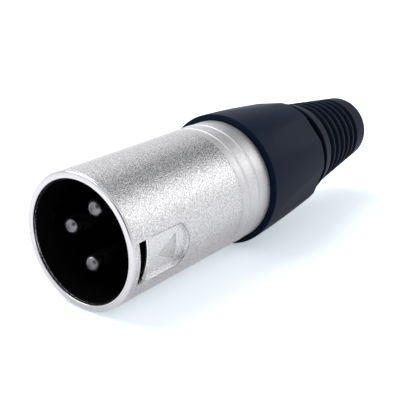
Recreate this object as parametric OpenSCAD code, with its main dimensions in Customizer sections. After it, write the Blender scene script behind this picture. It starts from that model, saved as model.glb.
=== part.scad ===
// Three-pin cable plug, male, with a turned metal shell, a screw-on bushing and a ribbed boot.
// The plug lies along +Y: its mouth is at the origin, its tail points to +Y and +Z is up.
// Lengths with a name that ends in _at are measured from the mouth, along the plug's axis.

/* [Shell] */
// Outer diameter of the shell
shell_d = 19; // [18:0.1:21]
// Length of the shell, from the mouth to the edge by the bushing
shell_len = 30.5; // [28.5:0.1:36]
// Wall of the shell round the mouth
shell_wall = 0.95; // [0.8:0.05:1.3]
// Wall of the shell round the thread
thread_wall = 0.65; // [0.5:0.05:0.75]
// Rounding of the mouth's rim
rim_round = 0.15; // [0.1:0.05:0.4]
// Rounding of the shell's rear edge
tail_round = 0.1; // [0.1:0.05:0.6]
// Length of the slightly smaller band at the shell's rear
band_len = 7.4; // [6:0.1:9]
// How much smaller that band is, in radius
band_drop = 0.05; // [0.02:0.01:0.15]
// Distance of the first bead from the shell's rear edge
bead_1_back = 5.6; // [4.2:0.1:6.5]
// Distance of the second bead from the shell's rear edge
bead_2_back = 3.2; // [1.5:0.1:3.6]
// Width of a bead
bead_w = 0.5; // [0.3:0.05:0.9]
// Height of a bead
bead_h = 0.08; // [0.04:0.01:0.2]

/* [Latch window] */
// Turn of the latch window below the level of the axis, in degrees
roll = 6.8; // [-30:0.1:30]
// Distance of the window from the mouth
window_at = 1.3; // [1:0.05:2]
// Length of the window along the plug
window_len = 2.2; // [1.8:0.05:2.6]
// Width of the window and of the sunk field behind it
field_w = 6.1; // [5:0.1:7]
// Distance from the mouth to the rear of the sunk field
field_end_at = 10.9; // [10:0.1:12.5]
// Radius of the bow at the rear of the field
field_bow_r = 3.6; // [3.55:0.05:6]
// Depth of the sunk field
field_depth = 0.5; // [0.3:0.05:0.6]
// Distance from the mouth to the tip of the triangle mark
mark_at = 5.2; // [4.6:0.1:6]
// Length of the triangle mark
mark_len = 3.5; // [2.5:0.1:3.8]
// Width of the triangle mark
mark_w = 3.7; // [2.5:0.1:4.5]
// Depth of the triangle mark
mark_depth = 0.15; // [0.08:0.01:0.2]

/* [Insert] */
// How far the insert's cup is set back from the mouth
cup_back = 0.5; // [0.4:0.05:1]
// Wall of the insert's cup
cup_wall = 0.5; // [0.4:0.05:0.8]
// Length of the taper that leads into the cup
cup_lead = 2.5; // [1:0.1:4]
// Width of the cup's front edge
cup_edge = 0.15; // [0.1:0.01:0.3]
// How far the insert's cut goes on behind the latch window
latch_clear = 0.4; // [0:0.05:0.8]
// Depth of the insert's floor from the mouth
floor_at = 15; // [14:0.1:16]
// Thickness of the insert's floor
floor_t = 5; // [4:0.1:5.5]
// Width of the rib in the cup that keys the plug
rib_w = 1.6; // [1:0.1:2.4]
// Height of that rib
rib_h = 0.5; // [0.3:0.05:0.8]
// Width of the shell's key that stops the insert from turning
key_w = 2; // [1.2:0.1:3]
// Height of that key
key_h = 0.8; // [0.4:0.05:1.1]
// Length of the two legs that the chuck bears on
leg_len = 4.5; // [4:0.1:5]
// Wall of the legs
leg_wall = 0.95; // [0.7:0.05:1.2]
// Half of the angle that each leg spans
leg_half_angle = 60; // [40:1:68]

/* [Contacts] */
// Diameter of a contact pin
pin_d = 2.39; // [2:0.01:2.6]
// Diameter of the circle that the pins stand on
pin_circle_d = 8.2; // [7.8:0.1:9]
// Distance of the pins' tips from the mouth
pin_tip_at = 2.1; // [1.4:0.1:4]
// Height of a pin's round tip
pin_tip_h = 0.9; // [0.5:0.05:1.2]
// Diameter of the collar that holds a pin in the floor
collar_d = 3.4; // [3:0.1:3.8]
// Thickness of that collar
collar_t = 1.6; // [1:0.1:2.4]
// Outer diameter of a solder cup
solder_d = 2.9; // [2.6:0.05:3.1]
// Bore of a solder cup
solder_bore = 1.9; // [1.4:0.05:2.1]
// Length of a solder cup
solder_len = 6.3; // [5:0.1:7]
// Width of the ground tab
tab_w = 2.4; // [1.6:0.1:3]
// Thickness of the ground tab's sheet
tab_t = 0.4; // [0.25:0.05:0.5]
// Height of the ground tab's spring leaf
tab_leaf = 1.9; // [1.2:0.1:2]

/* [Chuck] */
// Length of the chuck's closed ring
ring_len = 6.5; // [4:0.1:8]
// Wall of the chuck's ring
ring_wall = 1.5; // [1.2:0.05:1.8]
// Inner diameter between the chuck's jaws
jaw_d = 8; // [7.4:0.1:8.6]
// Length of the toothed part of the jaws
jaw_len = 5.6; // [4:0.1:6]
// Number of teeth along a jaw
teeth = 4; // [3:1:5]
// Depth of the teeth
tooth_h = 0.4; // [0.2:0.05:0.6]
// Number of slots that part the jaws
slots = 4; // [3:1:6]
// Width of a slot
slot_w = 1.6; // [1:0.1:2]

/* [Bushing] */
// Diameter of the bushing's front edge
lip_d = 20.8; // [20:0.1:23]
// Rounding of that edge
lip_round = 0.2; // [0.2:0.05:0.8]
// Gap between the shell and the bushing's face
face_gap = 0.1; // [0.1:0.05:0.4]
// Length of the bushing's body
body_len = 16.75; // [16.5:0.05:20]
// Diameter of the bushing's rear edge, over the corners
rear_d = 18.3; // [17.7:0.05:19]
// How far the body bulges beyond a straight cone
bulge = 0.12; // [0:0.02:0.5]
// Rounding of the rear edge
rear_round = 0.45; // [0.2:0.05:0.8]
// Number of shallow flats round the body
flats = 6; // [4:1:8]
// Depth of a flat at the rear edge
flat_depth = 0.3; // [0.1:0.02:0.4]
// Where the flats start, behind the bushing's face
flat_from = 3; // [2:0.1:6]
// Direction of one corner between the flats, in degrees above the level of the axis
corner_angle = 10.5; // [0:0.5:60]
// Gap between the insert's floor and the threaded spigot
spigot_gap = 2.7; // [2.2:0.1:3.5]
// Wall of the spigot
spigot_wall = 0.75; // [0.6:0.05:0.8]
// Length of the straight bore behind the face
straight_len = 3.9; // [3.5:0.1:5]
// Rear diameter of the clamping cone
cone_d = 12.2; // [12:0.1:13]
// Wall between the cone and the boot's seat
web_t = 0.7; // [0.6:0.05:1]
// Hole through that wall
web_hole_d = 10.6; // [9.5:0.1:11]
// Diameter of the boot's seat
seat_d = 15.2; // [14.8:0.1:15.4]
// Thickness of the lip that holds the boot
hold_t = 1.4; // [1:0.1:2]
// Hole in that lip
hold_d = 13.8; // [13.4:0.1:14.2]

/* [Boot] */
// Thickness of the flange that sits in the bushing
flange_len = 2.1; // [1.6:0.1:2.4]
// Visible gap between the bushing and the boot's ring
neck_gap = 2.1; // [1:0.1:3]
// Diameter of the neck in that gap
neck_d = 14.4; // [14.3:0.1:15]
// Width of the boot's smooth ring
collar_len = 2.85; // [1.6:0.05:3.5]
// Diameter of the ring's front edge
collar_front_d = 16.6; // [15.4:0.1:17]
// Diameter of the ring's rear edge, where the ribs start
ribs_front_d = 15.3; // [14.8:0.1:16]
// Chamfer of that edge
collar_edge = 0.2; // [0.1:0.05:0.4]
// Number of grooves between the ribs
grooves = 6; // [4:1:7]
// Distance from groove to groove
rib_pitch = 2.18; // [1.9:0.02:2.4]
// Width of a groove
groove_w = 1.3; // [0.8:0.05:1.5]
// Depth of a groove
groove_depth = 0.6; // [0.3:0.05:0.8]
// Length of the plain end behind the last groove
end_len = 4.6; // [3:0.05:6]
// Diameter of the tail end
tail_d = 11.2; // [10.6:0.1:13]
// Rounding of the tail end
tail_end_round = 1.1; // [0.4:0.1:1.4]
// Diameter of the cable hole
cable_d = 7; // [5:0.1:7.6]

/* [Fits] */
// Clearance between the chuck's tapered back and the cone
jaw_slack = 0.2; // [0.15:0.05:0.3]
// Clearance behind the chuck's jaws
jaw_clear = 0.3; // [0.2:0.05:0.5]
// Clearance round what slides or turns
run_gap = 0.05; // [0.03:0.01:0.08]
// Clearance round what only has to go in
loose_gap = 0.1; // [0.08:0.01:0.12]

/* [Hidden] */
$fn = 96;
fine = 48;
eps = 0.01;
far = 40;

shell_r = shell_d / 2;
mouth_r = shell_r - shell_wall;
thread_r = shell_r - thread_wall;
band_r = shell_r - band_drop;
band_at = shell_len - band_len;
bead_1_at = shell_len - bead_1_back;
bead_2_at = shell_len - bead_2_back;
field_r = shell_r - field_depth;

cup_r = mouth_r - run_gap;
cup_in_r = cup_r - cup_wall;
flange_r = thread_r - run_gap;
floor_end_at = floor_at + floor_t;
leg_end_at = floor_end_at + leg_len;
spigot_r = thread_r - run_gap;
spigot_in_r = spigot_r - spigot_wall;
leg_r = spigot_in_r - loose_gap;

pin_r = pin_d / 2;
pin_circle_r = pin_circle_d / 2;
collar_at = floor_at;
solder_wall = (solder_d - solder_bore) / 2;

face_at = shell_len + face_gap;
spigot_at = floor_end_at + spigot_gap;
body_end_at = face_at + body_len;
lip_r = lip_d / 2;
rear_r = rear_d / 2;
cone_at = face_at + straight_len;
hold_at = body_end_at - hold_t;
seat_at = hold_at - flange_len - 2 * loose_gap;
cone_end_at = seat_at - web_t;
flat_at = face_at + flat_from;

ring_end_at = leg_end_at + ring_len;
jaw_end_at = cone_end_at - jaw_clear;
jaw_at = jaw_end_at - jaw_len;
jaw_r = jaw_d / 2;
cone_slope = (spigot_in_r - cone_d / 2) / (cone_end_at - cone_at);
jaw_tip_r = spigot_in_r - cone_slope * (jaw_end_at - cone_at) - jaw_slack;
ring_in_r = leg_r - ring_wall;

boot_ring_at = body_end_at + neck_gap;
ribs_at = boot_ring_at + collar_len;
groove_1_at = ribs_at + groove_w / 2;
boot_end_at = groove_1_at + (grooves - 1) * rib_pitch + groove_w / 2 + end_len;
boot_slope = (ribs_front_d - tail_d) / 2 / (boot_end_at - ribs_at);
cable_r = cable_d / 2;

// Radius of the bushing's body, and of the boot's ribs, at a distance from the mouth
function body_t(at) = (at - face_at) / body_len;
function body_r(at) = lip_r + (rear_r - lip_r) * body_t(at) + 4 * bulge * body_t(at) * (1 - body_t(at));
function boot_r(at) = ribs_front_d / 2 - boot_slope * (at - ribs_at);

// Points along a quarter or half circle
function arc(x, y, r, from, to, steps = 6) =
    [for (i = [0 : steps]) let (a = from + (to - from) * i / steps) [x + r * cos(a), y + r * sin(a)]];

// Lays a part that was drawn standing on its mouth along +Y
module lay() { rotate([-90, 0, 0]) children(); }

// Turns the latch window and all that lines up with it about the axis
module latch_turn() { lay() rotate([0, 0, roll]) children(); }

module ring(r_out, r_in, from, to) {
    rotate_extrude() translate([r_in, from]) square([r_out - r_in, to - from]);
}

// Part of a ring, centred on an angle
module ring_part(r_out, r_in, from, to, middle, half) {
    rotate([0, 0, middle - half]) rotate_extrude(angle = 2 * half)
        translate([r_in, from]) square([r_out - r_in, to - from]);
}

// The window through the wall, and the sunk field behind it with its bowed rear end
module window_cut(longer = 0) {
    translate([0, -field_w / 2, window_at]) cube([far, field_w, window_len + longer]);
}

module field_outline() {
    window_end_at = window_at + window_len;
    polygon(concat([[window_end_at - eps, field_w / 2], [window_end_at - eps, -field_w / 2]],
        [for (i = [0 : 16]) let (a = asin(field_w / 2 / field_bow_r) * (i / 8 - 1))
            [field_end_at - field_bow_r + field_bow_r * cos(a), field_bow_r * sin(a)]]));
}

module mark_outline() {
    polygon([[mark_at, 0], [mark_at + mark_len, -mark_w / 2], [mark_at + mark_len, mark_w / 2]]);
}

// Cuts an outline into the barrel's side, down to a cylinder
module sink(to_r) {
    difference() {
        rotate([0, 90, 0]) linear_extrude(far) mirror([1, 0]) children();
        cylinder(r = to_r, h = far);
    }
}

module shell_profile() {
    polygon(concat(
        arc(mouth_r + rim_round, rim_round, rim_round, 180, 270),
        arc(shell_r - rim_round, rim_round, rim_round, 270, 360),
        [[shell_r, band_at], [band_r, band_at + band_drop]],
        bead(bead_1_at), bead(bead_2_at),
        arc(band_r - tail_round, shell_len - tail_round, tail_round, 0, 90),
        [[thread_r, shell_len], [thread_r, floor_at], [mouth_r, floor_at]]));
}

function bead(at) = [for (i = [0 : 8]) [band_r + bead_h * sin(180 * i / 8), at + bead_w * (i / 8 - 0.5)]];

module shell() {
    color([0.78, 0.77, 0.77]) latch_turn() {
        difference() {
            rotate_extrude($fn = 144) shell_profile();
            window_cut();
            sink(field_r) field_outline();
            sink(field_r - mark_depth) mark_outline();
        }
        // Key in the rear bore, which stops the insert from turning
        intersection() {
            ring(thread_r + thread_wall / 2, thread_r - key_h, floor_at, floor_end_at);
            translate([0, -key_w / 2, 0]) cube([far, key_w, far]);
        }
    }
}

// Directions of the contacts, measured from the latch window
module at_pin(number) {
    rotate([0, 0, [90, -90, 180][number - 1]]) translate([pin_circle_r, 0, 0]) children();
}

module insert() {
    color([0.03, 0.03, 0.035]) latch_turn() difference() {
        union() {
            rotate_extrude() polygon([[cup_r - cup_edge, cup_back], [cup_r, cup_back], [cup_r, floor_at + eps],
                [cup_in_r, floor_at + eps], [cup_in_r, cup_back + cup_lead]]);
            ring(flange_r, 0, floor_at, floor_end_at);
            for (middle = [0, 180])
                ring_part(leg_r, leg_r - leg_wall, floor_end_at - eps, leg_end_at, middle, leg_half_angle);
            // Rib inside the cup that keys the plug in its socket
            intersection() {
                ring(cup_in_r + cup_wall / 2, cup_in_r - rib_h, cup_back + cup_lead, floor_at + eps);
                translate([-far, -rib_w / 2, 0]) cube([far, rib_w, far]);
            }
        }
        window_cut(latch_clear);
        // Notch for the key in the shell
        translate([thread_r - key_h - run_gap, -key_w / 2 - run_gap, floor_at - eps])
            cube([far, key_w + 2 * run_gap, floor_t + 2 * eps]);
        for (number = [1 : 3]) at_pin(number) {
            cylinder(d = pin_d, h = far, $fn = fine);
            translate([0, 0, collar_at - eps]) cylinder(d = collar_d, h = collar_t + eps, $fn = fine);
        }
    }
}

// A contact pin with a round tip, a collar held in the floor and a solder cup
module pin(number) {
    solder_end_at = floor_end_at + solder_len;
    color([0.72, 0.7, 0.66]) latch_turn() at_pin(number) difference() {
        rotate_extrude($fn = fine) polygon(concat(
            [for (p = arc(0, 0, 1, -90, 0, 10)) [pin_r * p[0], pin_tip_at + pin_tip_h * (1 + p[1])]],
            [[pin_r, collar_at], [collar_d / 2, collar_at], [collar_d / 2, collar_at + collar_t],
             [pin_r, collar_at + collar_t], [pin_r, floor_end_at], [solder_d / 2, floor_end_at],
             [solder_d / 2, solder_end_at], [solder_bore / 2, solder_end_at],
             [solder_bore / 2, floor_end_at + solder_wall], [0, floor_end_at + solder_wall]]));
        // The cup is open on the side that faces the axis
        translate([-solder_d, -solder_d, floor_end_at + 3 * solder_wall]) cube([solder_d, 2 * solder_d, far]);
    }
}

// Sheet tab round contact 1, with a leaf that touches the shell
module ground_tab() {
    color([0.75, 0.62, 0.36]) latch_turn() rotate([0, 0, 90]) {
        difference() {
            union() {
                translate([pin_circle_r, 0, floor_end_at]) cylinder(d = solder_d + tab_w, h = tab_t, $fn = fine);
                intersection() {
                    translate([pin_circle_r, -tab_w / 2, floor_end_at]) cube([far, tab_w, tab_t]);
                    cylinder(r = flange_r, h = far);
                }
            }
            translate([pin_circle_r, 0, 0]) cylinder(d = solder_d, h = far, $fn = fine);
        }
        intersection() {
            ring(flange_r, flange_r - tab_t, floor_end_at, floor_end_at + tab_leaf);
            translate([0, -tab_w / 2, 0]) cube([far, tab_w, far]);
        }
    }
}

// Slotted collet that grips the cable: a ring, then jaws with a tapered back and toothed faces
module chuck() {
    tooth = jaw_len / teeth;
    cone_start_at = cone_at - jaw_slack;
    color([0.8, 0.8, 0.78]) latch_turn() difference() {
        rotate_extrude() polygon(concat(
            [[ring_in_r, leg_end_at], [leg_r, leg_end_at], [leg_r, cone_start_at],
             [jaw_tip_r, jaw_end_at]],
            [for (i = [teeth : -1 : 1]) each [[jaw_r, jaw_at + i * tooth], [jaw_r + tooth_h, jaw_at + (i - 0.5) * tooth]]],
            [[jaw_r, jaw_at], [ring_in_r, jaw_at - (ring_in_r - jaw_r)]]));
        for (i = [0 : slots - 1]) rotate([0, 0, (i + 0.5) * 360 / slots])
            translate([0, -slot_w / 2, ring_end_at]) cube([far, slot_w, far]);
    }
}

module bushing_profile() {
    polygon(concat(
        [[spigot_in_r, spigot_at], [spigot_r, spigot_at], [spigot_r, face_at]],
        arc(body_r(face_at + lip_round) - lip_round, face_at + lip_round, lip_round, 270, 360),
        [for (i = [1 : 12]) let (at = face_at + lip_round + i * (body_len - lip_round - rear_round) / 12)
            [body_r(at), at]],
        arc(body_r(body_end_at - rear_round) - rear_round, body_end_at - rear_round, rear_round, 10, 90),
        [[hold_d / 2, body_end_at], [hold_d / 2, hold_at], [seat_d / 2, hold_at], [seat_d / 2, seat_at],
         [web_hole_d / 2, seat_at], [web_hole_d / 2, cone_end_at], [cone_d / 2, cone_end_at],
         [spigot_in_r, cone_at]]));
}

// Clamping nut with shallow flats that deepen towards its rear edge
module bushing() {
    front_r = body_r(flat_at);
    lean = atan((front_r - body_r(body_end_at) + flat_depth) / (body_end_at - flat_at));
    color([0.05, 0.055, 0.07]) lay() difference() {
        rotate_extrude($fn = 144) bushing_profile();
        for (i = [0 : flats - 1]) rotate([0, 0, (i + 0.5) * 360 / flats - corner_angle])
            translate([front_r, -lip_r, flat_at]) rotate([0, -lean, 0]) cube([far, lip_d, far]);
    }
}

function groove(at) = [for (i = [0 : 6]) let (z = at + groove_w * (i / 6 - 0.5))
    [boot_r(z) - groove_depth * sin(180 * i / 6), z]];

// Rubber strain relief: a flange in the bushing's seat, a smooth ring, ribs and a rounded end
module boot() {
    flange_at = seat_at + loose_gap;
    neck_r = hold_d / 2 - loose_gap;
    shoulder_at = body_end_at + loose_gap;
    color([0.035, 0.04, 0.055]) lay() rotate_extrude() polygon(concat(
        [[cable_r, flange_at], [seat_d / 2 - loose_gap, flange_at],
         [seat_d / 2 - loose_gap, flange_at + flange_len], [neck_r, flange_at + flange_len],
         [neck_r, shoulder_at], [neck_d / 2, shoulder_at], [neck_d / 2, boot_ring_at],
         [collar_front_d / 2 - collar_edge, boot_ring_at],
         [collar_front_d / 2, boot_ring_at + collar_edge]],
        [for (i = [0 : grooves - 1]) each groove(groove_1_at + i * rib_pitch)],
        arc(boot_r(boot_end_at) - tail_end_round, boot_end_at - tail_end_round, tail_end_round, 8, 90),
        [[cable_r, boot_end_at]]));
}

shell();
insert();
pin(1);  // pin_1
pin(2);  // pin_2
pin(3);  // pin_3
ground_tab();
chuck();
bushing();
boot();
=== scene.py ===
"""Looks of a three-pin cable plug: a blasted metal shell, its contacts, a screw-on bushing and a ribbed boot.

Every new piece is a grid of points worked out with numpy, in millimetres, and set into a mesh in metres. The
plug lies along +Y with its mouth at the origin. An angle is measured round the axis, from +X towards +Z.
"""

import math

import bpy
import numpy as np
from mathutils import Matrix, Vector


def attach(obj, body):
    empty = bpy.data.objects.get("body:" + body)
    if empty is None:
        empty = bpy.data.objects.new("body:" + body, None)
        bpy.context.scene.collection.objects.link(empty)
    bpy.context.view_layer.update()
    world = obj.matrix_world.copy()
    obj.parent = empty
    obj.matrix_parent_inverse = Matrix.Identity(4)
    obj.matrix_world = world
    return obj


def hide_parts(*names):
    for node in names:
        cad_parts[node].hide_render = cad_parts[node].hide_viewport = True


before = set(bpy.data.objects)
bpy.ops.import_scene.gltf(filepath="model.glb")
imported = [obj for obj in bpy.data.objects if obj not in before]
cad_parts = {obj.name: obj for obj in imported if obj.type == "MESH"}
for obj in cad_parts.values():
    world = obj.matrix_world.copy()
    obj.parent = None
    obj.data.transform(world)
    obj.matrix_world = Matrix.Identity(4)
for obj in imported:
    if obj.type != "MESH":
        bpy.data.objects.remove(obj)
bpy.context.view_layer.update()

bl_info = {
    "name": "Cable plug looks",
    "version": (1, 0, 0),
    "blender": (4, 5, 0),
    "location": "3D View > Sidebar > Cable plug",
    "description": "Dresses the packed cable plug with detailed surfaces, finishes and a studio stage",
    "category": "Object",
}

MM = 0.001


def mm(name, description, value):
    """A length property, given in millimetres."""
    return bpy.props.FloatProperty(
        name=name, description=description, default=value * MM, unit="LENGTH", precision=5
    )


def degrees(name, description, value):
    """An angle property, given in degrees."""
    return bpy.props.FloatProperty(
        name=name, description=description, default=math.radians(value), subtype="ANGLE", unit="ROTATION"
    )


def share(name, description, value, top=1.0):
    """A plain number from 0 to top."""
    return bpy.props.FloatProperty(name=name, description=description, default=value, min=0.0, max=top)


def colour(name, description, value):
    """A linear colour."""
    return bpy.props.FloatVectorProperty(
        name=name, description=description, default=value, subtype="COLOR", size=3, min=0.0, max=1.0
    )


class PlugShellSizes(bpy.types.PropertyGroup):
    """Sizes of the metal shell."""

    radius: mm("Radius", "Outer radius of the barrel", 9.5)
    length: mm("Length", "From the mouth to the shell's rear edge", 30.5)
    mouth_radius: mm("Mouth radius", "Inner radius at the mouth", 8.55)
    thread_radius: mm("Thread radius", "Inner radius of the rear bore", 8.85)
    rear_bore_at: mm("Rear bore start", "Where the rear bore starts", 15.0)
    rim_round: mm("Rim rounding", "Rounding of the mouth's rim", 0.15)
    rim_outer: mm("Outer rim rounding", "Rounding of the rim's outer edge", 0.26)
    tail_round: mm("Rear rounding", "Rounding of the rear edge", 0.1)
    band_at: mm("Band start", "Where the slightly smaller rear band starts", 23.1)
    band_drop: mm("Band step", "How much smaller the band is, in radius", 0.05)
    bead_1_at: mm("First bead", "Place of the first bead", 24.9)
    bead_2_at: mm("Second bead", "Place of the second bead", 27.3)
    bead_width: mm("Bead width", "Width of a bead", 0.5)
    bead_height: mm("Bead height", "Height of a bead", 0.08)
    latch_angle: degrees("Latch direction", "Direction of the latch window round the axis", -6.8)
    window_at: mm("Window start", "Front edge of the latch window", 1.3)
    window_end: mm("Window end", "Rear edge of the latch window", 3.5)
    field_half: mm("Field half width", "Half the width of the window and of the sunk field", 3.05)
    field_end: mm("Field end", "Where the sunk field ends", 10.9)
    field_bow: mm("Field bow", "Radius of the field's bowed rear end", 3.6)
    field_depth: mm("Field depth", "Depth of the sunk field", 0.5)
    mark_at: mm("Mark tip", "Tip of the triangle mark", 5.2)
    mark_length: mm("Mark length", "Length of the triangle mark", 3.5)
    mark_width: mm("Mark width", "Width of the triangle mark", 3.7)
    mark_depth: mm("Mark depth", "Depth of the triangle mark", 0.15)
    key_half: mm("Key half width", "Half the width of the key in the rear bore", 1.0)
    key_height: mm("Key height", "Height of that key", 0.8)
    key_end: mm("Key end", "Where that key ends", 20.0)
    pitch: mm("Thread pitch", "Pitch of the thread between shell and bushing", 1.5)


class PlugPinSizes(bpy.types.PropertyGroup):
    """Sizes of the contact pins."""

    radius: mm("Radius", "Radius of a pin", 1.195)
    circle: mm("Pin circle", "Radius of the circle that the pins stand on", 4.1)
    tip_at: mm("Tip", "Distance of the tips from the mouth", 2.1)
    tip_height: mm("Tip height", "Height of a round tip", 0.9)
    collar_at: mm("Collar start", "Where the collar in the insert's floor starts", 15.0)
    collar_end: mm("Collar end", "Where that collar ends", 16.6)
    collar_radius: mm("Collar radius", "Radius of that collar", 1.7)
    cup_at: mm("Solder cup start", "Where the solder cup starts", 20.0)
    cup_end: mm("Solder cup end", "Where the solder cup ends", 26.3)
    cup_radius: mm("Solder cup radius", "Outer radius of the solder cup", 1.45)
    cup_bore: mm("Solder cup bore", "Bore radius of the solder cup", 0.95)


class PlugBushingSizes(bpy.types.PropertyGroup):
    """Sizes of the clamping bushing."""

    spigot_at: mm("Spigot start", "Front end of the threaded spigot", 22.7)
    spigot_radius: mm("Spigot radius", "Outer radius of the spigot", 8.8)
    spigot_bore: mm("Spigot bore", "Inner radius of the spigot", 8.05)
    thread_depth: mm("Thread depth", "Depth of the thread in the spigot", 0.35)
    face_at: mm("Face", "Where the front face of the body is", 30.6)
    end_at: mm("Rear end", "Where the body ends", 47.35)
    lip_radius: mm("Front radius", "Radius at the front edge", 10.4)
    rear_radius: mm("Rear radius", "Radius at the rear edge, over the corners", 9.15)
    bulge: mm("Bulge", "How far the side bulges beyond a straight cone", 0.12)
    lip_round: mm("Front rounding", "Rounding of the front edge", 0.2)
    rear_round: mm("Rear rounding", "Rounding of the rear edge", 0.45)
    flat_at: mm("Flats start", "Where the flats start", 33.6)
    flat_depth: mm("Flat depth", "Depth of a flat at the rear edge", 0.3)
    corner_angle: degrees("Corner direction", "Direction of one corner between two flats", 10.5)
    flats: bpy.props.IntProperty(name="Flats", description="Number of flats", default=6, min=3, max=12)
    cone_at: mm("Cone start", "Where the clamping cone starts", 34.5)
    cone_end: mm("Cone end", "Where the clamping cone ends", 42.95)
    cone_radius: mm("Cone end radius", "Radius at the cone's small end", 6.1)
    web_bore: mm("Web bore", "Radius of the hole behind the cone", 5.3)
    seat_at: mm("Seat start", "Where the boot's seat starts", 43.65)
    seat_end: mm("Seat end", "Where the boot's seat ends", 45.95)
    seat_radius: mm("Seat radius", "Radius of the boot's seat", 7.6)
    hold_radius: mm("Hole radius", "Radius of the hole at the rear", 6.9)


class PlugBootSizes(bpy.types.PropertyGroup):
    """Sizes of the ribbed boot."""

    flange_at: mm("Flange start", "Where the flange in the bushing starts", 43.75)
    flange_end: mm("Flange end", "Where that flange ends", 45.85)
    flange_radius: mm("Flange radius", "Radius of that flange", 7.5)
    neck_radius: mm("Inner neck radius", "Radius of the neck in the bushing's hole", 6.8)
    shoulder_at: mm("Shoulder", "Where the neck widens behind the bushing", 47.45)
    shoulder_radius: mm("Outer neck radius", "Radius of the neck behind the bushing", 7.2)
    ring_at: mm("Ring start", "Where the smooth ring starts", 49.45)
    ring_radius: mm("Ring radius", "Radius of the ring's front edge", 8.3)
    ribs_at: mm("Ribs start", "Where the ring ends and the ribs start", 52.3)
    ribs_radius: mm("Ribs radius", "Radius where the ribs start", 7.65)
    grooves: bpy.props.IntProperty(name="Grooves", description="Number of grooves", default=6, min=1, max=12)
    pitch: mm("Groove pitch", "Distance from groove to groove", 2.18)
    groove_width: mm("Groove width", "Width of a groove", 1.3)
    groove_depth: mm("Groove depth", "Depth of a groove", 0.6)
    end_at: mm("Tail end", "Where the boot ends", 69.1)
    end_radius: mm("Tail radius", "Radius of the tail end", 5.6)
    end_round: mm("Tail rounding", "Rounding of the tail end", 1.1)
    cable_radius: mm("Cable hole", "Radius of the cable hole", 3.5)


class PlugFinish(bpy.types.PropertyGroup):
    """Colours and grain of the finishes."""

    nickel: colour("Nickel", "Colour of the blasted nickel", (0.60, 0.60, 0.615))
    nickel_rough: share("Nickel roughness", "Roughness of the blasted nickel", 0.27)
    grain: mm("Blast grain", "Size of a dimple of the blasted surface", 0.23)
    contact: colour("Contact metal", "Colour of the silvered contacts", (0.25, 0.245, 0.262))
    brass: colour("Tab metal", "Colour of the ground tab", (0.62, 0.45, 0.20))
    insert: colour("Insert", "Colour of the black insert", (0.0018, 0.0016, 0.0016))
    bushing: colour("Bushing", "Colour of the black bushing", (0.0025, 0.0085, 0.024))
    rubber: colour("Boot rubber", "Colour of the black rubber", (0.002, 0.0065, 0.017))
    chuck: colour("Chuck", "Colour of the chuck's natural plastic", (0.62, 0.60, 0.55))
    floor: colour("Floor", "Colour of the floor", (0.93, 0.93, 0.94))


class PlugStage(bpy.types.PropertyGroup):
    """Levels of the studio light."""

    key: share("Key light", "Brightness of the large lamp's surface", 3.0, 20.0)
    strip: share("Side light", "Brightness of the lamp that shows in the barrel", 3.4, 20.0)
    world: share("Surroundings", "Brightness of the surroundings as a light", 0.55, 2.0)


def in_mm(group):
    """A property group's values by name, lengths in millimetres."""
    values = {}
    for name in group.bl_rna.properties.keys():
        if name in ("rna_type", "name"):
            continue
        value = getattr(group, name)
        kind = group.bl_rna.properties[name]
        values[name] = value / MM if kind.type == "FLOAT" and kind.unit == "LENGTH" else value
    return type("Sizes", (), values)


# Surfaces

def arc(x, y, r, start, stop, steps):
    """Points on a circle round (x, y): x + r cos a, y + r sin a, for a from start to stop in degrees."""
    a = np.radians(np.linspace(start, stop, steps + 1))
    return np.stack([x + r * np.cos(a), y + r * np.sin(a)], 1)


def line(start, stop, steps):
    """Points spread evenly from start to stop, both counted."""
    t = np.linspace(0, 1, steps + 1)[:, None]
    return np.array(start, float) * (1 - t) + np.array(stop, float) * t


def loft_faces(rows, columns):
    """Quads of a grid that closes on itself both ways: row i joins row i + 1, column j joins column j + 1."""
    i, j = np.meshgrid(np.arange(rows), np.arange(columns), indexing="ij")
    below, beside = (i + 1) % rows, (j + 1) % columns
    here, after = i * columns, below * columns
    return np.stack([here + j, here + beside, after + beside, after + j], -1)


def around(radius, at, angle):
    """A grid of points (r cos a, y, r sin a), from arrays of radius, place along the axis and angle."""
    return np.stack([radius * np.cos(angle), at + 0 * angle, radius * np.sin(angle)], -1)


def signed_volume(points, faces):
    """Six times the volume that a closed mesh holds: the sum of a . (b x c) over its triangles."""
    a, b, c, d = (points[faces[:, k]] for k in range(4))
    return float(np.sum(a * np.cross(b, c)) + np.sum(a * np.cross(c, d)))


def add_object(name, data):
    """A new object in the scene."""
    made = bpy.data.objects.new(name, data)
    bpy.context.scene.collection.objects.link(made)
    return made


def set_mesh(name, points, faces, sharp, caps=(), values=None):
    """A new object with these points in millimetres, quads turned outwards, and fans that close poles."""
    faces = np.asarray(faces).reshape(-1, 4)
    if signed_volume(points, faces) < 0:
        faces = faces[:, ::-1]
        caps = [cap[::-1] for cap in caps]
    mesh = bpy.data.meshes.new(name)
    mesh.from_pydata((points * MM).tolist(), [], faces.tolist() + [list(map(int, cap)) for cap in caps])
    mesh.polygons.foreach_set("use_smooth", np.ones(len(mesh.polygons), bool))
    mesh.set_sharp_from_angle(angle=math.radians(sharp))
    for key, value in (values or {}).items():
        mesh.attributes.new(key, "FLOAT", "POINT").data.foreach_set("value", value.astype(np.float32).ravel())
    mesh.update()
    return add_object(name, mesh)


def dress(piece, body, slot, *nodes):
    """Puts a piece on its body, in its material slot and in place of its CAD nodes."""
    piece.data.materials.append(finish(slot))
    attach(piece, body)
    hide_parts(*nodes)


def step(x):
    """Smooth step: 3x^2 - 2x^3 between 0 and 1."""
    x = np.clip(x, 0, 1)
    return x * x * (3 - 2 * x)


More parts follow.
